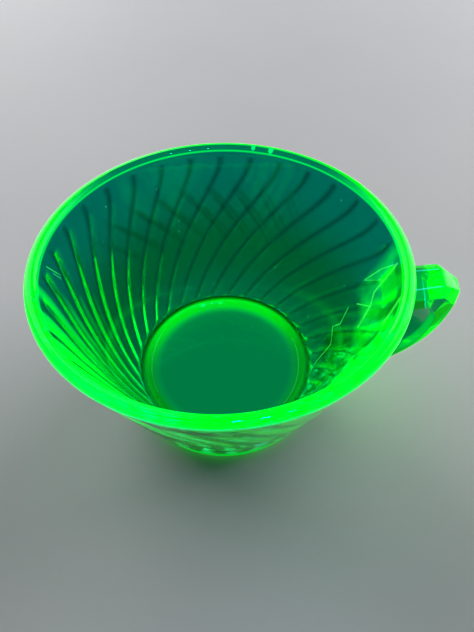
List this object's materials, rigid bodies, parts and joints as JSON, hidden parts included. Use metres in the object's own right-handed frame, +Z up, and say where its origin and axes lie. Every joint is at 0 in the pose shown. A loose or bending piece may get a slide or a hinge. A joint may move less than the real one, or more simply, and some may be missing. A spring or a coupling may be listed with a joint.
{
  "type": "glass cup",
  "caption": "Wide flared pressed-glass cup with swirled ribs outside, a plain rounded rim, a low solid foot and an angular faceted handle with a finger loop, in glowing green glass.",
  "frame": {"origin": "on the cup's axis, at the centre of the foot's flat underside, where the cup stands on a table", "axes": "+Z up along the cup's axis, +X out along the handle, +Y completes the right-handed frame"},
  "size_m": [0.1082, 0.096, 0.057],
  "materials": {
    "bowl_glass": "fire-polished",
    "foot_glass": "fire-polished",
    "handle_glass": "fire-polished"
  },
  "bodies": {
    "root": {"bowl": "bowl_glass", "foot": "foot_glass", "handle": "handle_glass"}
  },
  "joints": []
}
